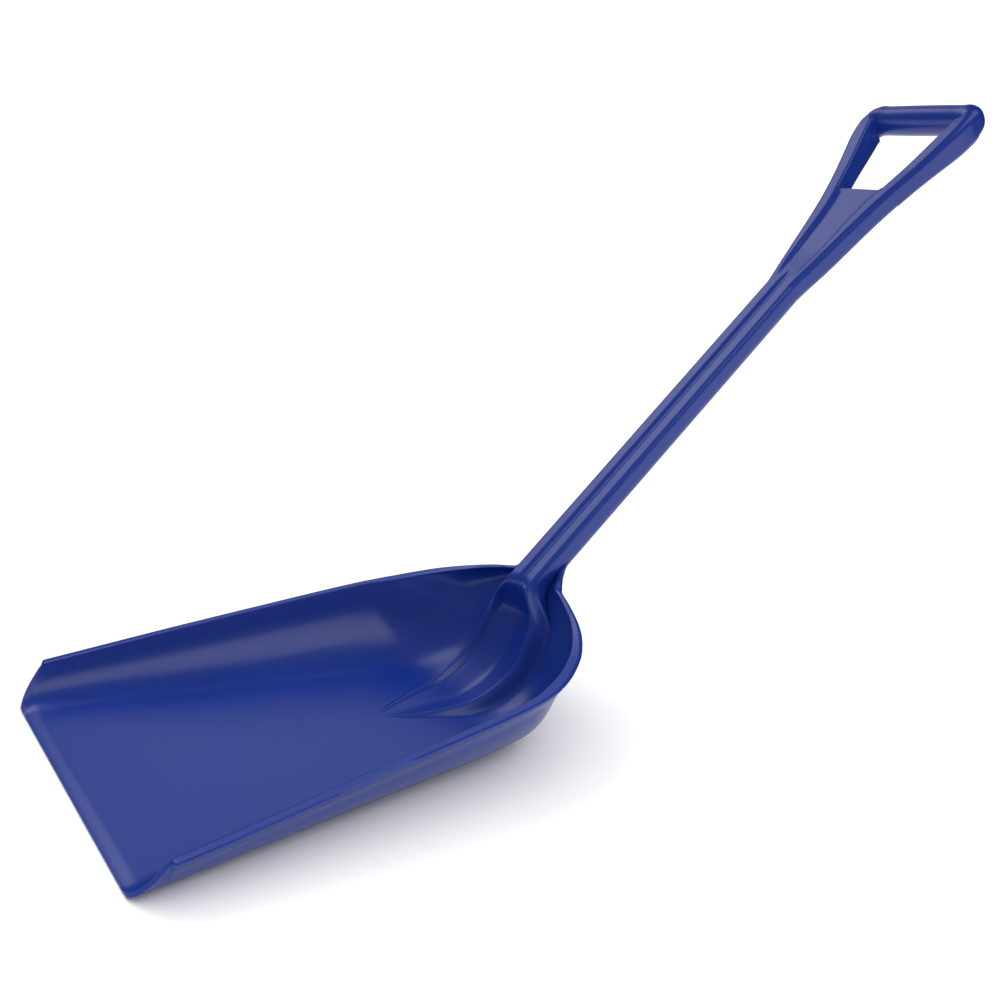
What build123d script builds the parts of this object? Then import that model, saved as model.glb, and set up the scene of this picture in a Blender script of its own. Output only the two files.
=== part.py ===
from build123d import *
import math
import os

# Feed shovel moulded in one piece: a deep flat-bottomed pan, a ramp that carries the shaft up out of
# the pan, a grooved shaft, a webbed fork and a D grip. Each section of the moulding is its own solid,
# and neighbours meet face to face.
# Millimetres. X is across the pan, +Y runs from the cutting edge to the grip, +Z is up. The origin is
# the centre of the flat underside that the pan rests on.

# pan
floor_length = 335.0        # flat floor, from the cutting edge to the start of the heel
mouth_width = 354.0         # over the lips at the cutting edge
shoulder_width = 307.0      # over the lips where the heel starts
side_bow = 1.3              # 1 is a straight taper, more is a fuller side
mouth_depth = 30.5          # underside to lip at the cutting edge
shoulder_depth = 71.0       # underside to lip where the heel starts
gauge = 3.8                 # thickness of the walls
flat_trim = 0.3             # taken off the underside to leave it truly flat
mouth_bend = 30.0           # outside radius from floor to wall at the mouth
shoulder_bend = 78.0        # the same where the heel starts
wall_flare = 16.0           # lean of the side walls from upright, degrees
lip_overhang = 6.0          # lip outside the wall
lip_gauge = 3.5             # thickness of the lip
heel_radius = 90.0          # outside of the bend from the floor to the back wall
heel_angle = 62.0           # lean of the back wall from the floor, degrees
back_rise = 69.0            # straight run of the back wall up to the neck
landing_climb = 64.0        # where the shaft's underside leaves the back wall, up its straight run
wall_setback = 24.0         # how far the side wall's top starts behind the cutting edge
bevel_length = 12.0         # bevel on top of the cutting edge
bevel_drop = 2.0

# shaft
handle_angle = 42.9         # lean of the shaft from the floor, degrees
seat_back = 100.0           # middle of the shaft where it leaves the pan, behind the heel's start
seat_height = 113.8         # and above the underside
shaft_width = 36.0
shaft_depth = 24.0
shaft_round = 9.0           # corner radius of the shaft's section
groove_width = 12.0
groove_depth = 3.0
shaft_length = 388.0        # ramp to fork
seat_length = 14.0          # shaft section that belongs to the ramp, beyond the neck

# ramp in the pan
ramp_reach = 146.0          # ramp's tip in front of the shaft's start
nose_length = 88.0          # tip to full width
neck_blend = 18.0           # the ridges draw in to the shaft from here
ridge_run = 60.0            # a point half way up the ridge, behind the heel's start
ridge_height = 46.0         # its height above the underside
ramp_width = 58.0           # over both ridges
channel_width = 38.0        # between the ridges
channel_depth = 9.0
channel_setback = 14.0      # channel's tip behind the ramp's tip

# fork and grip
grip_cant = 1.8             # how much steeper the grip stands than the shaft, degrees
fork_length = 149.0         # start of the flare to the hand opening
flare_reach = 66.0          # a point on the flare, from its start
flare_width = 51.0          # and the width there
fork_width = 86.0           # over the arms at the hand opening's lower edge
grip_width = 142.0          # over the arms at the bar
grip_depth = 24.0           # thickness of the fork and the arms
bar_radius = 16.25
hand_length = 104.0         # hand opening, lower edge to bar, clear
hand_low_width = 56.0       # hand opening at its lower edge
arm_gauge = 18.0            # width of an arm next to the bar
arm_spread = 0.28           # how far the arms lean out for each mm of length, where they start
web_gauge = 8.0
web_rim = 13.0              # solid end of the web next to the shaft

heel_turn = math.radians(heel_angle)
lean = math.radians(handle_angle)
front_y = -floor_length / 2
heel_y = floor_length / 2
heel_arc = heel_radius * heel_turn
wall_base_y = heel_y + heel_radius * math.sin(heel_turn)
wall_base_z = heel_radius * (1 - math.cos(heel_turn)) - flat_trim
floor_top = gauge - flat_trim


def pan_plane(travel):
    """Section plane of the pan, travel mm along its underside from the cutting edge."""
    if travel <= floor_length:
        turn = 0.0
        y, z = front_y + travel, -flat_trim
    elif travel <= floor_length + heel_arc:
        turn = (travel - floor_length) / heel_radius
        y = heel_y + heel_radius * math.sin(turn)
        z = heel_radius * (1 - math.cos(turn)) - flat_trim
    else:
        turn = heel_turn
        climb = travel - floor_length - heel_arc
        y = wall_base_y + climb * math.cos(turn)
        z = wall_base_z + climb * math.sin(turn)
    return Plane(origin=(0, y, z), x_dir=(1, 0, 0), z_dir=(0, -math.cos(turn), -math.sin(turn)))


def pan_station(travel):
    """Half width, depth, bend radius and flare of the pan at a station beside the flat floor."""
    share = travel / floor_length
    half = mouth_width / 2 - (mouth_width - shoulder_width) / 2 * share**side_bow
    depth = mouth_depth + (shoulder_depth - mouth_depth) * share
    bend = mouth_bend + (shoulder_bend - mouth_bend) * share
    return travel, half, depth, bend, wall_flare


# Behind the floor the pan gathers in to the neck. Each row is the share of the way from the heel's
# start to the neck, then the half width, the depth and the bend radius as shares of the shoulder's,
# and the lean of the wall in degrees.
gather = (
    (0.19, 0.993, 1.00, 1.05, 29),
    (0.38, 0.982, 0.96, 1.05, 35),
    (0.585, 0.951, 0.84, 0.98, 39),
    (0.67, 0.870, 0.65, 0.74, 40),
    (0.76, 0.766, 0.45, 0.50, 38),
    (0.862, 0.587, 0.26, 0.27, 33),
    (0.953, 0.330, 0.21, 0.17, 22),
    (1.0, 0.235, 0.20, 0.13, 12),
)
gather_length = heel_arc + back_rise
floor_shares = (0, 0.25, 0.5, 0.75, 1)
stations = [pan_station(floor_length * share) for share in floor_shares]
for share, half, depth, bend, flare in gather:
    travel = floor_length + gather_length * share
    half_width = shoulder_width / 2 * half
    stations.append((travel, half_width, shoulder_depth * depth, shoulder_bend * bend, flare))

floor_end = len(floor_shares) - 1
throat = floor_end + 5
neck = len(stations) - 1
sections = []
for travel, half, depth, bend, flare in stations:
    slope = math.tan(math.radians(flare))
    wall_top = half - lip_overhang
    outer_foot = wall_top - (depth - lip_gauge) * slope
    inner_top = wall_top - gauge
    inner_foot = inner_top - (depth - gauge) * slope
    with BuildSketch(pan_plane(travel)) as section:
        with BuildLine():
            outer = FilletPolyline(
                (-wall_top, depth - lip_gauge),
                (-outer_foot, 0),
                (outer_foot, 0),
                (wall_top, depth - lip_gauge),
                radius=bend,
            )
            right_lip = Polyline(
                (wall_top, depth - lip_gauge),
                (half, depth - lip_gauge),
                (half, depth),
                (inner_top, depth),
            )
            inner = FilletPolyline(
                (inner_top, depth),
                (inner_foot, gauge),
                (-inner_foot, gauge),
                (-inner_top, depth),
                radius=bend - gauge,
            )
            left_lip = Polyline(
                (-inner_top, depth),
                (-half, depth),
                (-half, depth - lip_gauge),
                (-wall_top, depth - lip_gauge),
            )
        make_face()
    sections.append(section.sketch)

with BuildPart() as pan:
    # one run beside the floor, one round the heel and one up to the neck, each from the last's end
    for first, last in ((0, floor_end), (floor_end, throat), (throat, neck)):
        loft(sections=sections[first : last + 1])
    with BuildSketch(Plane.YZ) as mouth_cut:
        Polygon(
            (front_y - bevel_length, floor_top - bevel_drop),
            (front_y, floor_top - bevel_drop),
            (front_y + wall_setback, mouth_depth + lip_gauge),
            (front_y + wall_setback, shoulder_depth),
            (front_y - bevel_length, shoulder_depth),
            align=None,
        )
        Polygon(
            (front_y, floor_top - bevel_drop),
            (front_y + bevel_length, floor_top),
            (front_y, floor_top),
            align=None,
        )
    extrude(amount=mouth_width, both=True, mode=Mode.SUBTRACT)
    split(bisect_by=Plane.XY, keep=Keep.TOP)

# The handle plane runs along the middle of the shaft from its seat: its X is across, its Y is along
# the shaft and its Z is out of the top face. The shaft's underside comes down to the back wall.
along = Vector(0, math.cos(lean), math.sin(lean))
outward = Vector(0, -math.sin(lean), math.cos(lean))
landing = Vector(
    0,
    wall_base_y + landing_climb * math.cos(heel_turn),
    wall_base_z + landing_climb * math.sin(heel_turn),
)
seat = Vector(0, heel_y + seat_back, seat_height)
handle_plane = Plane(origin=seat, x_dir=(1, 0, 0), z_dir=outward)


def side_point(reach, height):
    """(y, z) of a point on the handle, by its place along the shaft and out of its middle."""
    point = seat + along * reach + outward * height
    return point.Y, point.Z


mid_radius = heel_radius - gauge / 2
mid_wall = Vector(
    0,
    heel_y + mid_radius * math.sin(heel_turn),
    floor_top / 2 + mid_radius * (1 - math.cos(heel_turn)),
)
mid_landing = mid_wall + Vector(0, math.cos(heel_turn), math.sin(heel_turn)) * landing_climb
tip_y = seat.Y - ramp_reach
ridge_mid_y = heel_y + ridge_run
top_end = side_point(seat_length, shaft_depth / 2)
groove_end = side_point(seat_length, shaft_depth / 2 - groove_depth)


def leaf(half, nose_y, nose_length, end_half):
    """Draws half of the ramp's or its channel's outline, seen from above: a long nose, then the neck."""
    nose = EllipticalCenterArc((0, nose_y + nose_length), half, nose_length, 270, arc_size=90)
    waist = Line(nose @ 1, (half, seat.Y - neck_blend))
    taper = Spline(waist @ 1, (end_half, top_end[0]), tangents=((0, 1), (0, 1)))
    Polyline(taper @ 1, (end_half, top_end[0] + shaft_depth), (0, top_end[0] + shaft_depth))


with BuildPart() as channel:
    with BuildSketch(Plane.YZ) as channel_side:
        with BuildLine():
            bed = Spline(
                (tip_y, 0),
                (ridge_mid_y + channel_depth * 0.7, ridge_height - channel_depth * 0.7),
                groove_end,
                tangents=((1, 0), (along.Y, along.Z)),
            )
            Polyline(
                bed @ 1,
                side_point(seat_length, shaft_depth),
                (tip_y, seat.Z + shaft_depth),
                bed @ 0,
            )
        make_face()
    extrude(amount=ramp_width, both=True)
    with BuildSketch() as channel_plan:
        with BuildLine():
            leaf(channel_width / 2, tip_y + channel_setback, nose_length - channel_setback, groove_width / 2)
            mirror(about=Plane.YZ)
        make_face()
    extrude(amount=seat.Z * 2, mode=Mode.INTERSECT)

with BuildPart() as handle_ramp:
    with BuildSketch(Plane.YZ) as ramp_side:
        with BuildLine():
            floor_run = Line((tip_y, floor_top / 2), (heel_y, floor_top / 2))
            heel_run = RadiusArc(floor_run @ 1, (mid_wall.Y, mid_wall.Z), -mid_radius)
            wall_run = Line(heel_run @ 1, (mid_landing.Y, mid_landing.Z))
            Polyline(
                wall_run @ 1,
                (landing.Y, landing.Z),
                side_point(seat_length, -shaft_depth / 2),
                top_end,
            )
            ridge = Spline(
                (tip_y, floor_top),
                (ridge_mid_y, ridge_height),
                top_end,
                tangents=((1, 0), (along.Y, along.Z)),
            )
            Line(ridge @ 0, floor_run @ 0)
        make_face()
    extrude(amount=ramp_width, both=True)
    with BuildSketch() as ramp_plan:
        with BuildLine():
            leaf(ramp_width / 2, tip_y, nose_length, shaft_width / 2)
            mirror(about=Plane.YZ)
        make_face()
    extrude(amount=seat.Z * 2, mode=Mode.INTERSECT)
    add(channel.part, mode=Mode.SUBTRACT)
    add(pan.part, mode=Mode.SUBTRACT)

# The grip stands a little steeper than the shaft, so the shaft's end is cut to the grip's angle.
shaft_start = seat + along * seat_length
fork_foot = shaft_start + along * shaft_length
grip_lean = lean + math.radians(grip_cant)
grip_along = Vector(0, math.cos(grip_lean), math.sin(grip_lean))
grip_outward = Vector(0, -math.sin(grip_lean), math.cos(grip_lean))
grip_plane = Plane(origin=fork_foot, x_dir=(1, 0, 0), z_dir=grip_outward)
with BuildPart() as shaft:
    with BuildSketch(Plane(origin=shaft_start, x_dir=(-1, 0, 0), z_dir=along)) as shaft_section:
        RectangleRounded(shaft_width, shaft_depth, shaft_round)
        with Locations((0, shaft_depth / 2)):
            Ellipse(groove_width / 2, groove_depth, mode=Mode.SUBTRACT)
    extrude(amount=shaft_length + shaft_depth)
    split(bisect_by=Plane(origin=fork_foot, z_dir=grip_along), keep=Keep.BOTTOM)

hand_low = fork_length
bar_reach = hand_low + hand_length + bar_radius
with BuildPart() as fork:
    with BuildSketch(grip_plane) as fork_outline:
        with BuildLine():
            right_edge = Spline(
                (shaft_width / 2, 0),
                (flare_width / 2, flare_reach),
                (fork_width / 2, hand_low),
                tangents=((0, 1), (arm_spread, 1)),
            )
            Polyline((0, 0), right_edge @ 0)
            Polyline(right_edge @ 1, (0, hand_low))
            mirror(about=Plane.YZ)
        make_face()
    extrude(amount=grip_depth / 2, both=True)
    for face_side in (1, -1):
        pocket_floor = grip_plane.offset(face_side * web_gauge / 2)
        with BuildSketch(pocket_floor) as pocket:
            Polygon(
                (-groove_width / 2, web_rim),
                (groove_width / 2, web_rim),
                (hand_low_width / 2, hand_low),
                (-hand_low_width / 2, hand_low),
                align=None,
            )
        extrude(amount=face_side * grip_depth, mode=Mode.SUBTRACT)

shoulder_x = grip_width / 2 - bar_radius
arm_inner_x = grip_width / 2 - arm_gauge
with BuildPart() as grip_arm_right:
    with BuildSketch(grip_plane) as arm_outline:
        with BuildLine():
            outside = Spline(
                (fork_width / 2, hand_low),
                (grip_width / 2, bar_reach - bar_radius / 2),
                tangents=((arm_spread, 1), (arm_spread / 2, 1)),
            )
            crown = Spline(
                outside @ 1,
                (shoulder_x, bar_reach + bar_radius),
                tangents=((arm_spread / 2, 1), (-1, 0)),
            )
            Polyline(
                crown @ 1,
                (arm_inner_x, bar_reach + bar_radius),
                (arm_inner_x, bar_reach - bar_radius),
                (hand_low_width / 2, hand_low),
                outside @ 0,
            )
        make_face()
    extrude(amount=grip_depth / 2, both=True)

with BuildPart() as grip_arm_left:
    mirror(grip_arm_right.part, about=Plane.YZ)

bar_centre = fork_foot + grip_along * bar_reach
with BuildPart() as grip_bar:
    with BuildSketch(Plane(origin=bar_centre, x_dir=grip_along, z_dir=(1, 0, 0))) as bar_section:
        Circle(bar_radius)
    extrude(amount=arm_inner_x, both=True)

pieces = {
    "pan": pan,
    "handle_ramp": handle_ramp,
    "shaft": shaft,
    "grip_fork": fork,
    "grip_arm_left": grip_arm_left,
    "grip_arm_right": grip_arm_right,
    "grip_bar": grip_bar,
}
os.makedirs("parts", exist_ok=True)
for name, piece in pieces.items():
    piece.part.label = name
    export_step(piece.part, f"parts/{name}.step")
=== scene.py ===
import math
import bpy
from mathutils import Euler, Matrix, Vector


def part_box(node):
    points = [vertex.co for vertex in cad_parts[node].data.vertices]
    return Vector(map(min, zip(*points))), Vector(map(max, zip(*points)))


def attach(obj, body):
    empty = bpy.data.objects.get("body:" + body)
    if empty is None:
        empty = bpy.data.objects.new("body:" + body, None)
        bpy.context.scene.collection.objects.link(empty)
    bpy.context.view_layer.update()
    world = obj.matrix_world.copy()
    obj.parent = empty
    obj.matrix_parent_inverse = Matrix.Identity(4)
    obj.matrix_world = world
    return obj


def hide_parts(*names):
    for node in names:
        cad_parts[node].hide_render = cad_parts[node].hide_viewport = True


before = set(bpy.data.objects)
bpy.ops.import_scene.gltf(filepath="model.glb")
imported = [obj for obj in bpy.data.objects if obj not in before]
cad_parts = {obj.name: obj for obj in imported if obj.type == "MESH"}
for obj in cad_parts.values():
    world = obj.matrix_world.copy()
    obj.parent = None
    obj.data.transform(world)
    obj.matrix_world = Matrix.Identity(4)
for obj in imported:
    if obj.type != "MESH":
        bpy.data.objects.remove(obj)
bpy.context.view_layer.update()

# Feed shovel moulded in one piece from blue polypropylene.
# Lengths are millimetres in the dictionaries of the shapes, and metres in the plastic's,
# the studio's and the meshes.


def ease(share):
    share = min(max(share, 0.0), 1.0)
    return share * share * (3 - 2 * share)


def mix(first, second, share):
    return first + (second - first) * share


# a smooth value between the rows of a table, with no overshoot
def follow(table, at, column=1):
    if at <= table[0][0]:
        return table[0][column]
    if at >= table[-1][0]:
        return table[-1][column]
    steps = [b[0] - a[0] for a, b in zip(table, table[1:])]
    rates = [(b[column] - a[column]) / step for a, b, step in zip(table, table[1:], steps)]
    leans = [rates[0]]
    for before, after in zip(rates, rates[1:]):
        leans.append(0.0 if before * after <= 0 else 2 * before * after / (before + after))
    leans.append(rates[-1])
    row = max(i for i in range(len(steps)) if table[i][0] <= at)
    part = (at - table[row][0]) / steps[row]
    low, high = table[row][column], table[row + 1][column]
    pull = steps[row] * (leans[row] * part * (1 - part) ** 2 - leans[row + 1] * part**2 * (1 - part))
    return mix(low, high, ease(part)) + pull


# the same number of points along a line, evenly spaced
def spaced(points, count):
    lengths = [0.0]
    for a, b in zip(points, points[1:]):
        lengths.append(lengths[-1] + math.dist(a, b))
    made, row = [], 0
    for i in range(count):
        want = lengths[-1] * i / (count - 1)
        while row < len(points) - 2 and lengths[row + 1] < want:
            row += 1
        part = (want - lengths[row]) / max(lengths[row + 1] - lengths[row], 1e-9)
        made.append(tuple(mix(p, q, part) for p, q in zip(points[row], points[row + 1])))
    return made


def arc(centre, radius, start, end, count):
    turns = [math.radians(mix(start, end, i / (count - 1))) for i in range(count)]
    return [(centre[0] + radius * math.cos(a), centre[1] + radius * math.sin(a)) for a in turns]


# the right half of a section, from its bottom middle to its top middle, made a whole ring
def bothSides(half):
    return half + [(-x, h) for x, h in reversed(half[1:-1])]


# a section's (x, height) points in a plane leaning back by lean, with its foot at (y, z)
def placed(section, foot, lean):
    return [
        (x, foot[0] - h * math.sin(lean), foot[1] + h * math.cos(lean)) for x, h in section
    ]


def tidyUp(piece, sharpAngle):
    bpy.ops.object.mode_set(mode="EDIT")
    bpy.ops.mesh.select_all(action="SELECT")
    bpy.ops.mesh.remove_doubles(threshold=0.00002)
    bpy.ops.mesh.normals_make_consistent(inside=False)
    bpy.ops.object.mode_set(mode="OBJECT")
    bpy.ops.object.shade_smooth_by_angle(angle=math.radians(sharpAngle))


# a circle is extruded once a ring, each ring is drawn out to its section, and the ends are filled
def tubeThrough(name, rings, sharpAngle=38):
    count, step = len(rings[0]), 0.01
    bpy.ops.object.select_all(action="DESELECT")
    bpy.ops.mesh.primitive_circle_add(vertices=count, radius=0.1, location=(0, 0, 0))
    tube = bpy.context.object
    tube.name = name
    tube.data.name = name
    bpy.ops.object.mode_set(mode="EDIT")
    bpy.ops.mesh.select_all(action="SELECT")
    for _ in rings[1:]:
        bpy.ops.mesh.extrude_region_move(TRANSFORM_OT_translate={"value": (0, 0, step)})
    bpy.ops.object.mode_set(mode="OBJECT")
    places = []
    for corner in tube.data.vertices:
        turn = math.atan2(corner.co.y, corner.co.x) % math.tau
        places.append((round(corner.co.z / step), round(turn / math.tau * count) % count))
    for corner, (ring, point) in zip(tube.data.vertices, places):
        corner.co = Vector(rings[ring][point]) / 1000
    for end in (0, len(rings) - 1):
        for face in tube.data.polygons:
            face.select = False
        for edge in tube.data.edges:
            edge.select = False
        for corner, (ring, point) in zip(tube.data.vertices, places):
            corner.select = ring == end
        bpy.ops.object.mode_set(mode="EDIT")
        bpy.ops.mesh.select_mode(type="VERT")
        bpy.ops.mesh.edge_face_add()
        bpy.ops.object.mode_set(mode="OBJECT")
    tidyUp(tube, sharpAngle)
    return tube


layout = {
    "floorLength": 335,
    "heelRadius": 90,
    "heelAngle": 62,
    "backRise": 69,
    "trim": 0.3,
    "handleAngle": 42.9,
    "seatBack": 100,
    "seatHeight": 113.8,
    "seatLength": 14,
    "shaftLength": 388,
    "gripCant": 1.8,
}
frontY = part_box("pan")[0].y * 1000
heelY = frontY + layout["floorLength"]
heelTurn = math.radians(layout["heelAngle"])
heelArc = layout["heelRadius"] * heelTurn
neckTravel = layout["floorLength"] + heelArc + layout["backRise"]


# foot and lean of the pan's section, so far along its underside from the cutting edge
def panFrame(travel):
    radius = layout["heelRadius"]
    past = travel - layout["floorLength"]
    if past <= 0:
        return (frontY + travel, 0.0), 0.0
    turn = min(past / radius, heelTurn)
    climb = max(past - heelArc, 0.0)
    drop = layout["trim"] * ease(past / 20)
    y = heelY + radius * math.sin(turn) + climb * math.cos(turn)
    z = radius * (1 - math.cos(turn)) + climb * math.sin(turn) - drop
    return (y, z), turn


lean = math.radians(layout["handleAngle"])
gripLean = lean + math.radians(layout["gripCant"])
seatPoint = (heelY + layout["seatBack"], layout["seatHeight"])


# a point beside the shaft's middle line, by its reach and its height out of the top face
def onShaft(reach, height=0.0):
    y = seatPoint[0] + reach * math.cos(lean) - height * math.sin(lean)
    z = seatPoint[1] + reach * math.sin(lean) + height * math.cos(lean)
    return y, z


forkFoot = onShaft(layout["seatLength"] + layout["shaftLength"])


def onGrip(reach, height=0.0):
    y = forkFoot[0] + reach * math.cos(gripLean) - height * math.sin(gripLean)
    z = forkFoot[1] + reach * math.sin(gripLean) + height * math.cos(gripLean)
    return y, z


panShape = {
    "wall": 3.6,
    "lipThickness": 3.6,
    "lipRounding": 1.2,
    # the mouth's ends start this high and climb so much over so long
    "mouthFoot": 1.7,
    "mouthClimb": 31,
    "mouthRun": 24,
    "bevelLength": 13,
    "bevelDrop": 2.0,
    "ringSpacing": 3.5,
    "closeSpacing": 1.3,
    "sharpAngle": 42,
    # beyond the neck the lip runs on so far and rises so much, and ends at this half width
    # and this share of its height
    "neckRings": 14,
    "neckRun": 40,
    "neckRise": 3.0,
    "neckEndHalf": 16.5,
    "neckEndShare": 0.55,
    # the rim's outer top edge from the mouth to the neck: half width, place along Y and height
    "rim": (
        (177.0, -167.5, 30.5),
        (174.3, -107.5, 37.8),
        (169.3, -27.5, 48.2),
        (163.9, 52.5, 58.0),
        (158.3, 132.5, 67.6),
        (154.2, 165.0, 71.8),
        (150.0, 181.0, 74.2),
        (143.6, 196.5, 77.3),
        (134.3, 212.5, 81.8),
        (117.4, 232.5, 89.0),
        (90.0, 251.0, 98.4),
        (58.0, 262.3, 108.2),
        (40.5, 267.6, 112.4),
        (34.0, 273.5, 113.6),
    ),
    # travel over the pan's underside, then bend, flare and lip width
    "walls": (
        (0, 31, 16, 4.6),
        (167, 55, 16, 5.4),
        (310, 75, 16.3, 6.1),
        (335, 78, 17.6, 6.2),
        (352, 80, 20.5, 6.5),
        (370, 82, 25.5, 6.8),
        (388, 82, 31.5, 7.2),
        (406, 81, 36.5, 7.6),
        (432, 74, 40.5, 8.0),
        (446, 58, 42, 8.0),
        (461, 40, 41, 8.0),
        (478, 22, 35, 7.5),
        (494, 11, 22, 6.5),
        (502, 7, 12, 5.5),
    ),
}


def rimTable():
    rows, gone = [], 0.0
    for i, point in enumerate(panShape["rim"]):
        gone += math.dist(point, panShape["rim"][i - 1]) if i else 0.0
        rows.append((gone, *point))
    return rows


rimRows = rimTable()


# where the rim crosses the section plane: half width and depth there
def rimAt(foot, turn):
    low, high = 0.0, rimRows[-1][0]
    for _ in range(40):
        middle = (low + high) / 2
        y, z = follow(rimRows, middle, 2), follow(rimRows, middle, 3)
        past = (y - foot[0]) * math.cos(turn) + (z - foot[1]) * math.sin(turn)
        low, high = (middle, high) if past < 0 else (low, middle)
    half, y, z = (follow(rimRows, low, i) for i in (1, 2, 3))
    return half, (z - foot[1]) * math.cos(turn) - (y - foot[0]) * math.sin(turn)


# one side of the wall from the middle of the floor to height top, as a line of points
def wallLine(foot, bend, flare, low, top):
    slope = math.tan(math.radians(flare))
    reach = bend * math.tan(math.radians((90 - flare) / 2))
    points = [(0.0, low), (foot - reach, low)]
    points += arc((foot - reach, low + bend), bend, -90, -flare, 25)[1:]
    points.append((foot + (top - low) * slope, top))
    kept = []
    for a, b in zip(points, points[1:]):
        kept.append(a)
        if b[1] > top:
            part = (top - a[1]) / max(b[1] - a[1], 1e-9)
            kept.append((mix(a[0], b[0], part), top))
            return kept
    kept.append(points[-1])
    return kept


def panSection(travel):
    half, depth = rimAt(*panFrame(travel))
    bend, flare, lip = (follow(panShape["walls"], travel, i) for i in range(1, 4))
    # a bend is never taller than the wall it belongs to
    tallest = (depth - panShape["wall"] - 1.2) / math.cos(math.radians(flare))
    bend = min(bend, tallest / math.tan(math.radians((90 - flare) / 2)))
    wall, lipThickness = panShape["wall"], panShape["lipThickness"]
    lipRound = panShape["lipRounding"]
    slope = math.tan(math.radians(flare))
    nearEdge = 1 - ease(travel / panShape["bevelLength"])
    floorTop = wall - panShape["bevelDrop"] * nearEdge
    # the mouth's two ends are cut back at a slope, a little rounded at its top and its foot
    cut = panShape["mouthFoot"] + panShape["mouthClimb"] * travel / panShape["mouthRun"]
    full = depth - lipThickness
    outerTop, innerTop = min(full, cut), min(depth, cut)
    lipShare = ease((cut - full) / 5)
    outerFoot = half - lip - full * slope
    outer = wallLine(outerFoot, bend, flare, 0.0, outerTop)
    outerX = outer[-1][0]
    innerFoot = half - lip - wall - (depth - wall) * slope
    innerEnd = max(innerTop - lipRound * 0.4, floorTop + 0.2)
    inner = wallLine(innerFoot, bend - wall, flare, floorTop, innerEnd)
    innerX = inner[-1][0]
    lipX = mix(outerX, half, lipShare)
    top = max(innerTop, outerTop)
    edge = min(lipRound, (top - outerTop + 0.6) / 2, max((lipX - innerX) / 3, 0.2))
    crown = [(lipX - edge, outerTop)] if lipShare > 0.02 else []
    crown += arc((lipX - edge, outerTop + edge), edge, -90, 0, 4) if lipShare > 0.02 else []
    crown += arc((lipX - edge, max(top - edge, outerTop)), edge, 0, 90, 5)
    crown += arc((innerX + edge, max(top - edge, outerTop)), edge, 90, 180, 5)
    inside = list(reversed(inner))
    right = spaced(outer, 34)[:-1] + spaced(crown, 18) + spaced(inside, 34)[1:]
    return bothSides(right)


def makePan():
    stations = [0, 0.5, 1.2, 2, 3]
    while stations[-1] < neckTravel:
        past = (stations[-1] - layout["floorLength"]) / (neckTravel - layout["floorLength"])
        near = stations[-1] < 30 or 0.5 < past
        spacing = panShape["closeSpacing" if near else "ringSpacing"]
        stations.append(min(stations[-1] + spacing, neckTravel))
    rings = []
    for travel in stations:
        foot, turn = panFrame(travel)
        rings.append(placed(panSection(travel), foot, turn))
    # beyond the neck the lip runs out along the shaft's sides
    (neckY, neckZ), turn = panFrame(neckTravel)
    last = panSection(neckTravel)
    neckHalf = max(x for x, _ in last)
    for i in range(panShape["neckRings"]):
        share = (i + 1) / panShape["neckRings"]
        away = panShape["neckRun"] * share
        rise = panShape["neckRise"] * ease(share)
        narrow = mix(1.0, panShape["neckEndHalf"] / neckHalf, 1 - (1 - share) ** 2.2)
        flatten = mix(1.0, panShape["neckEndShare"], ease(share))
        foot = (
            neckY + away * math.cos(lean) - rise * math.sin(lean),
            neckZ + away * math.sin(lean) + rise * math.cos(lean),
        )
        section = [(x * narrow, h * flatten) for x, h in last]
        rings.append(placed(section, foot, mix(turn, lean, ease(share))))
    pan = tubeThrough("panShell", rings, panShape["sharpAngle"])
    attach(pan, "root")
    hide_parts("pan")
    return pan


handleShape = {
    "halfWidth": 18.2,
    "up": 12.3,
    "down": 12.2,
    "topCorner": 4.4,
    "backCorner": 9.5,
    "grooveHalf": 5.4,
    "grooveDepth": 2.0,
}


# half widths, top dip and back dip in; the whole ring out
def handleSection(half, up, down, topCorner, backCorner, topDip, backDip):
    right = []
    for i in range(12):
        x = (half - backCorner) * i / 12
        right.append((x, -down + backDip(x)))
    right += arc((half - backCorner, -down + backCorner), backCorner, -90, 0, 7)
    for i in range(1, 5):
        right.append((half, mix(-down + backCorner, up - topCorner, i / 5)))
    right += arc((half - topCorner, up - topCorner), topCorner, 0, 90, 7)
    for i in range(1, 14):
        x = (half - topCorner) * (1 - i / 13)
        right.append((x, up - topDip(x)))
    return bothSides(right)


def groove(x, depth=1.0):
    share = abs(x) / handleShape["grooveHalf"]
    return handleShape["grooveDepth"] * depth * (1 - ease(share))


def shaftSection():
    half = handleShape["halfWidth"]
    return handleSection(
        half,
        handleShape["up"],
        handleShape["down"],
        handleShape["topCorner"],
        handleShape["backCorner"],
        groove,
        lambda x: 0.0,
    )


def makeShaft():
    start, length = layout["seatLength"], layout["shaftLength"]
    section = shaftSection()
    rings = []
    for i in range(49):
        share = i / 48
        turn = mix(lean, gripLean, share**6)
        rings.append(placed(section, onShaft(start + length * share), turn))
    shaft = tubeThrough("grooveShaft", rings)
    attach(shaft, "root")
    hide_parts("shaft")
    return shaft


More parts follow.
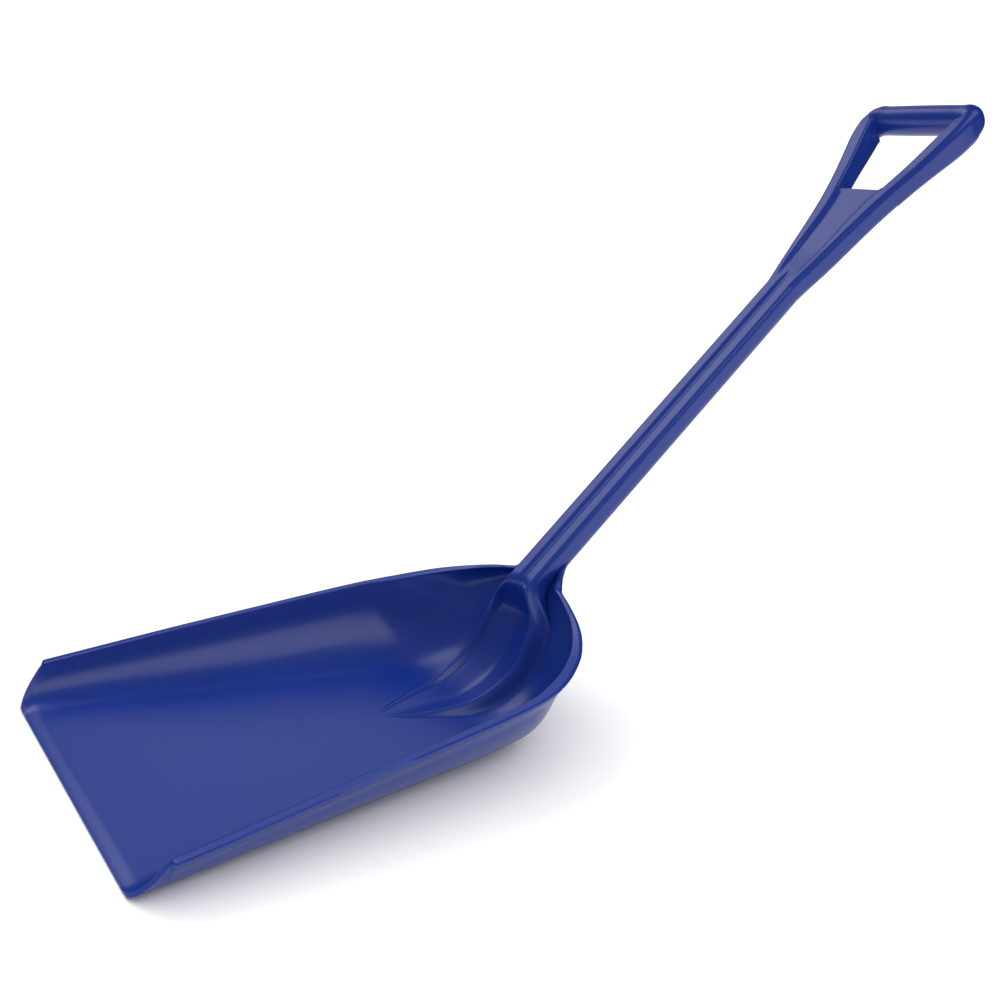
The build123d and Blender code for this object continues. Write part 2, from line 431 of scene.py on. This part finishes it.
rampShape = {
    "joinStart": 462,
    "joinEnd": 503,
    "ringSpacing": 2.6,
    "closeSpacing": 1.4,
    "bottomRound": 4,
    # the join's underside may sink to this depth, starting from this travel
    "tuckDepth": 20,
    "tuckStart": 494,
    "tuckRun": 9,
    # travel, crest height over the pan, crest's place from the middle, skirt and inner fall widths,
    # height at the foot of the inner fall and height in the middle of the hollow
    "rows": (
        (270, 0.0, 2.0, 4.0, 1.0, 0.0, 0.0),
        (280, 0.9, 6.0, 5.0, 3.0, 0.3, 0.1),
        (290, 1.7, 11.0, 6.0, 4.0, 0.8, 0.1),
        (302, 2.7, 16.0, 7.5, 5.0, 1.4, 0.1),
        (316, 4.2, 20.5, 9.0, 6.0, 2.4, 0.1),
        (332, 6.4, 24.6, 10.5, 7.0, 3.4, 0.1),
        (353, 9.6, 29.4, 12.0, 8.2, 4.8, 0.2),
        (380, 12.6, 33.8, 13.0, 9.4, 6.0, 0.4),
        (415, 14.2, 36.2, 13.5, 10.0, 6.6, 0.6),
        (449, 15.8, 34.2, 13.0, 9.4, 7.4, 1.0),
        (472, 19.4, 27.6, 11.5, 8.0, 11.0, 4.0),
        (488, 23.6, 20.0, 9.0, 6.4, 17.5, 13.0),
        (500, 26.5, 15.0, 7.0, 5.0, 24.5, 22.5),
    ),
}


def finSection(travel):
    crest, place, skirt, fall, foot, middle = (
        follow(rampShape["rows"], travel, i) for i in range(1, 7)
    )
    buried = panShape["wall"] * 0.5
    base = panShape["wall"] - 0.25
    edge = place + skirt
    right = [(edge * i / 8, buried) for i in range(8)]
    right += [(edge, mix(buried, base, i / 3)) for i in range(3)]
    for i in range(20):
        share = 1 - i / 19
        right.append((place + skirt * share, base + crest * (0.5 + 0.5 * math.cos(math.pi * share))))
    inner = max(place - fall, 0.0)
    for i in range(1, 14):
        share = i / 13
        drop = 0.5 - 0.5 * math.cos(math.pi * share)
        right.append((mix(place, inner, share), base + mix(crest, foot, drop)))
    for i in range(1, 14):
        share = i / 13
        # a hollow with straight sides and a round bottom
        x, bottom = inner * (1 - share), rampShape["bottomRound"]
        tallest = math.hypot(inner, bottom) - bottom + 1e-6
        high = (math.hypot(x, bottom) - bottom) / tallest
        right.append((x, base + mix(middle, foot, high)))
    return right


# the shaft's own section with its points shared out like the fins'
def shaftHalf():
    ring = shaftSection()
    half = ring[: len(ring) // 2 + 1]
    bottom, side, top = half[:12], half[12:30], half[29:]
    right = spaced(bottom + side[:1], 9)[:-1] + spaced(side[:12], 4)[:-1]
    right += spaced(side[11:], 20) + spaced(top, 27)[1:]
    return right


def makeRamp():
    rings = []
    target = shaftHalf()
    travel = rampShape["rows"][0][0]
    joinStart, joinEnd = rampShape["joinStart"], rampShape["joinEnd"]
    while travel <= joinEnd:
        foot, turn = panFrame(travel)
        section = finSection(travel)
        blend = ease((travel - joinStart) / (joinEnd - joinStart))
        if blend > 0:
            # where this section's plane crosses the shaft's middle line
            up = (-math.sin(turn), math.cos(turn))
            away = (foot[0] - seatPoint[0], foot[1] - seatPoint[1])
            cross = away[0] * math.sin(lean) - away[1] * math.cos(lean)
            along = math.cos(lean) * up[1] - math.sin(lean) * up[0]
            axis = cross / along
            stretch = 1 / math.cos(turn - lean)
            tuck = ease((travel - rampShape["tuckStart"]) / rampShape["tuckRun"])
            lowest = mix(panShape["wall"] * 0.5, -rampShape["tuckDepth"], tuck)
            section = [
                (mix(x, p, blend), mix(h, max(axis + q * stretch, lowest), blend))
                for (x, h), (p, q) in zip(section, target)
            ]
        rings.append(placed(bothSides(section), foot, turn))
        travel += rampShape["ringSpacing" if travel < joinStart else "closeSpacing"]
    # from the last of these to the shaft's start, the sections turn square to the shaft
    lastFoot, lastTurn = foot, turn
    lastAxis, lastSection = axis, section
    crossing = (
        lastFoot[0] - lastAxis * math.sin(lastTurn),
        lastFoot[1] + lastAxis * math.cos(lastTurn),
    )
    gone = math.dist(crossing, seatPoint)
    reach = gone if crossing[0] > seatPoint[0] else -gone
    for i in range(1, 13):
        share = i / 12
        turn = mix(lastTurn, lean, ease(share))
        stretch = 1 / math.cos(turn - lean)
        middle = onShaft(mix(reach, layout["seatLength"], share))
        section = [
            (mix(x, p, ease(share * 2)), mix(h - lastAxis, q * stretch, ease(share * 2)))
            for (x, h), (p, q) in zip(lastSection, target)
        ]
        rings.append(placed(bothSides(section), middle, turn))
    ramp = tubeThrough("finnedRamp", rings)
    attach(ramp, "root")
    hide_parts("handle_ramp")
    return ramp


gripShape = {
    "forkLength": 149,
    "handLength": 104,
    "handLowHalf": 28,
    "handTopHalf": 53,
    "cornerInset": 0.6,
    "barRadius": 16.25,
    "barWaist": 15.6,
    "dishDepth": 3.4,
    "rimWidth": (6.5, 15.5),
    "edgeRound": 5.5,
    "innerRound": 3.0,
    "cornerRound": 18,
    # reach from the shaft's end, then half width
    "outline": (
        (0, 18.2),
        (15, 20.4),
        (30, 23.0),
        (63, 28.2),
        (100, 34.0),
        (125, 38.6),
        (149, 44.2),
        (200, 58.6),
        (235, 67.6),
        (262, 71.0),
    ),
}


def forkSection(reach):
    half = follow(gripShape["outline"], reach)
    opened = ease(reach / 60)
    depth = gripShape["dishDepth"] * opened
    rim = mix(*gripShape["rimWidth"], ease(reach / gripShape["forkLength"]))

    def dish(x):
        inside = (half - rim - abs(x)) / 5
        return max(depth * ease(inside), groove(x, 1 - opened))

    def backDish(x):
        inside = (half - rim - abs(x)) / 5
        return depth * ease(inside)

    edge = gripShape["edgeRound"]
    back = mix(handleShape["backCorner"], edge + 1, opened)
    up, down = handleShape["up"], handleShape["down"]
    return handleSection(half, up, down, edge, back, dish, backDish)


def makeFork():
    length = gripShape["forkLength"]
    rings = []
    for i in range(39):
        reach = length * i / 38
        rings.append(placed(forkSection(reach), onGrip(reach), gripLean))
    fork = tubeThrough("webbedFork", rings)
    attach(fork, "root")
    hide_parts("grip_fork")
    return fork


# an arm's section between its inner and outer lines, with its inner and outer corner radii
def armRing(inner, outer, halfDepth, innerRound, outerRound):
    width = math.dist(inner, outer)
    way = ((outer[0] - inner[0]) / width, (outer[1] - inner[1]) / width)
    corners = (
        (width - outerRound, halfDepth - outerRound, outerRound, 0),
        (innerRound, halfDepth - innerRound, innerRound, 90),
        (innerRound, innerRound - halfDepth, innerRound, 180),
        (width - outerRound, outerRound - halfDepth, outerRound, 270),
    )
    ring = []
    for across, up, radius, start in corners:
        ring += arc((across, up), radius, start, start + 90, 12)
    # four more points along each of the four sides
    made = []
    for quarter in range(4):
        made += ring[quarter * 12 : quarter * 12 + 12]
        a, b = made[-1], ring[(quarter * 12 + 12) % 48]
        made += [(mix(a[0], b[0], k / 5), mix(a[1], b[1], k / 5)) for k in range(1, 5)]
    placedRing = []
    for across, up in made:
        y, z = onGrip(inner[1] + way[1] * across, up)
        placedRing.append((inner[0] + way[0] * across, y, z))
    return placedRing


def makeArm(side):
    low, length = gripShape["forkLength"], gripShape["handLength"]
    radius, edge = gripShape["barRadius"], gripShape["edgeRound"]
    high = low + length
    rings = []
    for i in range(34):
        share = i / 33
        reach = low + length * share
        inner = mix(gripShape["handLowHalf"], gripShape["handTopHalf"], share)
        inner -= gripShape["cornerInset"] * ease((share - 0.93) / 0.07)
        halfDepth = mix(handleShape["up"], radius, ease((share - 0.2) / 0.8))
        corner = mix(edge, edge + 1.5, share)
        outer = follow(gripShape["outline"], reach)
        rings.append(armRing((inner, reach), (outer, reach), halfDepth, gripShape["innerRound"], corner))
    # round the corner, fanned about the inner corner of the hand opening
    pivot = (gripShape["handTopHalf"] - gripShape["cornerInset"], high)
    width, height = follow(gripShape["outline"], high) - pivot[0], 2 * radius
    corner = gripShape["cornerRound"]
    for i in range(1, 25):
        turn = math.radians(90 * i / 24)
        c, s = math.cos(turn), math.sin(turn)
        # distance out to a box with one rounded corner
        far = min(width / c if c > 1e-6 else 1e9, height / s if s > 1e-6 else 1e9)
        if far * c > width - corner and far * s > height - corner:
            a, b = width - corner, height - corner
            reachTo = a * c + b * s
            far = reachTo + math.sqrt(max(reachTo**2 - (a * a + b * b - corner**2), 0.0))
        outer = (pivot[0] + far * c, pivot[1] + far * s)
        rounder = ease(i / 20)
        innerRound = min(mix(gripShape["innerRound"], radius, rounder), far * 0.48)
        outerRound = min(mix(edge + 1.5, radius, rounder), far - innerRound - 0.2)
        rings.append(armRing(pivot, outer, radius, innerRound, outerRound))
    arm = tubeThrough("gripArm" + side, rings)
    if side == "Left":
        bpy.ops.transform.mirror(constraint_axis=(True, False, False))
        bpy.ops.object.transform_apply(location=True, rotation=True, scale=True)
        tidyUp(arm, 38)
    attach(arm, "root")
    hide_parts("grip_arm_" + side.lower())
    return arm


def makeBar():
    half = gripShape["handTopHalf"] - 0.4
    radius = gripShape["barRadius"]
    reach = gripShape["forkLength"] + gripShape["handLength"] + radius
    rings = []
    for i in range(41):
        x = mix(-half, half, i / 40)
        near = ease((half - abs(x)) / 7)
        size = mix(radius - 0.1, gripShape["barWaist"], near) + 0.45 * (1 - (x / half) ** 2)
        ring = []
        for k in range(64):
            turn = math.tau * k / 64
            y, z = onGrip(reach + size * math.cos(turn), size * math.sin(turn))
            ring.append((x, y, z))
        rings.append(ring)
    bar = tubeThrough("gripBar", rings)
    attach(bar, "root")
    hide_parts("grip_bar")
    return bar


class Wire:
    # one socket of a material; arithmetic on it adds Math nodes
    def __init__(self, tree, socket):
        self.tree, self.socket = tree, socket

    def node(self, kind, settings, inputs, out=0):
        made = self.tree.nodes.new(kind)
        for key, value in settings.items():
            setattr(made, key, value)
        for key, value in inputs.items():
            if isinstance(value, Wire):
                self.tree.links.new(value.socket, made.inputs[key])
            else:
                made.inputs[key].default_value = value
        return Wire(self.tree, made.outputs[out])

    def noise(self, scale, detail, roughness):
        values = {"Vector": self, "Scale": scale, "Detail": detail, "Roughness": roughness}
        return self.node("ShaderNodeTexNoise", {}, values)

    def maths(self, operation, first, second):
        return self.node("ShaderNodeMath", {"operation": operation}, {0: first, 1: second})

    def __add__(self, other):
        return self.maths("ADD", self, other)

    def __radd__(self, other):
        return self.maths("ADD", other, self)

    def __sub__(self, other):
        return self.maths("SUBTRACT", self, other)

    def __rsub__(self, other):
        return self.maths("SUBTRACT", other, self)

    def __mul__(self, other):
        return self.maths("MULTIPLY", self, other)

    def __rmul__(self, other):
        return self.maths("MULTIPLY", other, self)


plastic = {
    "deep": (0.0028, 0.020, 0.188, 1),
    "pale": (0.0042, 0.025, 0.220, 1),
    "scuff": (0.022, 0.050, 0.28, 1),
    "roughness": 0.28,
    "roughSpread": 0.08,
    "pebble": 0.00006,
    "ior": 1.49,
    # scale, detail and roughness of each pattern
    "flow": (7.0, 3.0, 0.5),
    "pebbles": (900.0, 2.0, 0.6),
    "peel": (160.0, 2.0, 0.5),
    "patches": (14.0, 5.0, 0.65),
    "scratches": (5.0, 6.0, 0.7),
    "scratchStretch": (90.0, 5.0, 40.0),
}


# moulded polypropylene: slow flow marks in the colour, a fine pebbled skin and faint scuffs
def blueMoulding(name, scuffing, flowStretch):
    material = bpy.data.materials.new(name)
    material.use_nodes = True
    tree = material.node_tree
    shader = tree.nodes["Principled BSDF"]
    coords = tree.nodes.new("ShaderNodeTexCoord")
    place = Wire(tree, coords.outputs["Object"])
    flow = place.node("ShaderNodeMapping", {}, {0: place, "Scale": flowStretch})
    slow = flow.noise(*plastic["flow"])
    fine = place.noise(*plastic["pebbles"])
    peel = place.noise(*plastic["peel"])
    patch = place.noise(*plastic["patches"])
    drag = place.node("ShaderNodeMapping", {}, {0: place, "Scale": plastic["scratchStretch"]})
    line = drag.noise(*plastic["scratches"])
    worn = place.node(
        "ShaderNodeMapRange", {}, {0: patch * 0.5 + line * 0.5, 1: 0.56, 2: 0.72, 3: 0.0, 4: scuffing}
    )
    body = place.node(
        "ShaderNodeMix",
        {"data_type": "RGBA"},
        {0: slow, 6: plastic["deep"], 7: plastic["pale"]},
        2,
    )
    colour = place.node("ShaderNodeMix", {"data_type": "RGBA"}, {0: worn, 6: body, 7: plastic["scuff"]}, 2)
    rough = plastic["roughness"] + plastic["roughSpread"] * (slow - 0.5) + worn * 0.15 + fine * 0.03
    bumpHeight = fine * 0.55 + peel * 0.45 - worn * 0.4
    bump = place.node(
        "ShaderNodeBump", {}, {"Strength": 0.5, "Distance": plastic["pebble"], "Height": bumpHeight}
    )
    tree.links.new(colour.socket, shader.inputs["Base Color"])
    tree.links.new(rough.socket, shader.inputs["Roughness"])
    tree.links.new(bump.socket, shader.inputs["Normal"])
    shader.inputs["IOR"].default_value = plastic["ior"]
    return material


studio = {
    "cameraPlace": (0.7855, -0.3515, 0.4648),
    "cameraTurn": (1.2989, -0.0763, 0.96342),
    "lens": 39.6,
    "room": 0.86,
    "paper": 0.88,
    "floorSize": 60,
    "surroundRadius": 29,
    # name, direction from the shovel, spread in degrees, strength, and whether it shows in the gloss
    "lamps": (
        ("ceiling", (0.0, 0.0, 1.0), 110, 0.8, False),
        ("leftBack", (-0.73, 0.42, 0.53), 36, 0.155, True),
        ("leftFront", (-0.67, -0.16, 0.72), 32, 0.50, True),
        ("rightAbove", (0.586, 0.20, 0.788), 42, 0.62, True),
    ),
}


def makeStudio():
    scene = bpy.context.scene
    scene.view_settings.view_transform = "Standard"
    bpy.ops.object.select_all(action="DESELECT")
    bpy.ops.mesh.primitive_plane_add(size=studio["floorSize"], location=(0, 0, 0))
    floor = bpy.context.object
    floor.name = "paleFloor"
    paper = bpy.data.materials.new("palePaper")
    paper.use_nodes = True
    paint = paper.node_tree.nodes["Principled BSDF"]
    grey = studio["paper"]
    paint.inputs["Base Color"].default_value = (grey, grey, grey, 1)
    paint.inputs["Roughness"].default_value = 0.9
    paint.inputs["Specular IOR Level"].default_value = 0.0
    floor.data.materials.append(paper)
    # a pale surround as bright as the lit floor, seen by the camera only, so the gloss keeps its dark room
    falling = sum(strength * Vector(way).normalized().z for _, way, _, strength, _ in studio["lamps"])
    bpy.ops.mesh.primitive_uv_sphere_add(
        segments=48, ring_count=24, radius=studio["surroundRadius"], location=(0, 0, 0)
    )
    surround = bpy.context.object
    surround.name = "paleSurround"
    glow = bpy.data.materials.new("paleSurroundPaper")
    glow.use_nodes = True
    shine = glow.node_tree.nodes["Principled BSDF"]
    shine.inputs["Base Color"].default_value = (0, 0, 0, 1)
    shine.inputs["Specular IOR Level"].default_value = 0.0
    shine.inputs["Emission Color"].default_value = (1, 1, 1, 1)
    shine.inputs["Emission Strength"].default_value = grey * (falling / math.pi + studio["room"])
    surround.data.materials.append(glow)
    surround.visible_diffuse = False
    surround.visible_glossy = False
    surround.visible_transmission = False
    surround.visible_shadow = False
    for name, direction, spread, strength, glossy in studio["lamps"]:
        way = Vector(direction).normalized()
        bpy.ops.object.light_add(type="SUN", location=way * 3)
        lamp = bpy.context.object
        lamp.name = name + "Light"
        lamp.rotation_euler = way.to_track_quat("Z", "Y").to_euler()
        lamp.data.angle = math.radians(spread)
        lamp.data.energy = strength
        lamp.visible_glossy = glossy
    world = bpy.data.worlds.new("dimRoom")
    scene.world = world
    world.use_nodes = True
    sky = world.node_tree.nodes["Background"]
    sky.inputs["Color"].default_value = (1, 1, 1, 1)
    sky.inputs["Strength"].default_value = studio["room"]
    world.cycles_visibility.glossy = False


def makeCamera():
    bpy.ops.object.camera_add(location=studio["cameraPlace"])
    camera = bpy.context.object
    camera.name = "viewCamera"
    camera.rotation_euler = Euler(studio["cameraTurn"])
    camera.data.lens = studio["lens"]
    camera.data.sensor_width = 36
    camera.data.clip_end = 200
    bpy.context.scene.camera = camera


makeCamera()
makeStudio()
print("stage: camera, floor and lights")

panPiece = makePan()
rampPiece = makeRamp()
print("stage: pan and ramp")
handlePieces = [makeShaft(), makeFork(), makeArm("Left"), makeArm("Right"), makeBar()]
print("stage: shaft and grip")

panPiece.data.materials.append(blueMoulding("panBluePlastic", 0.35, (1.0, 1.0, 1.0)))
rampPiece.data.materials.append(blueMoulding("rampBluePlastic", 0.25, (1.0, 1.0, 1.0)))
handleBlue = blueMoulding("handleBluePlastic", 0.25, (2.0, 0.6, 0.6))
for piece in handlePieces:
    piece.data.materials.append(handleBlue)
print("stage: plastic")
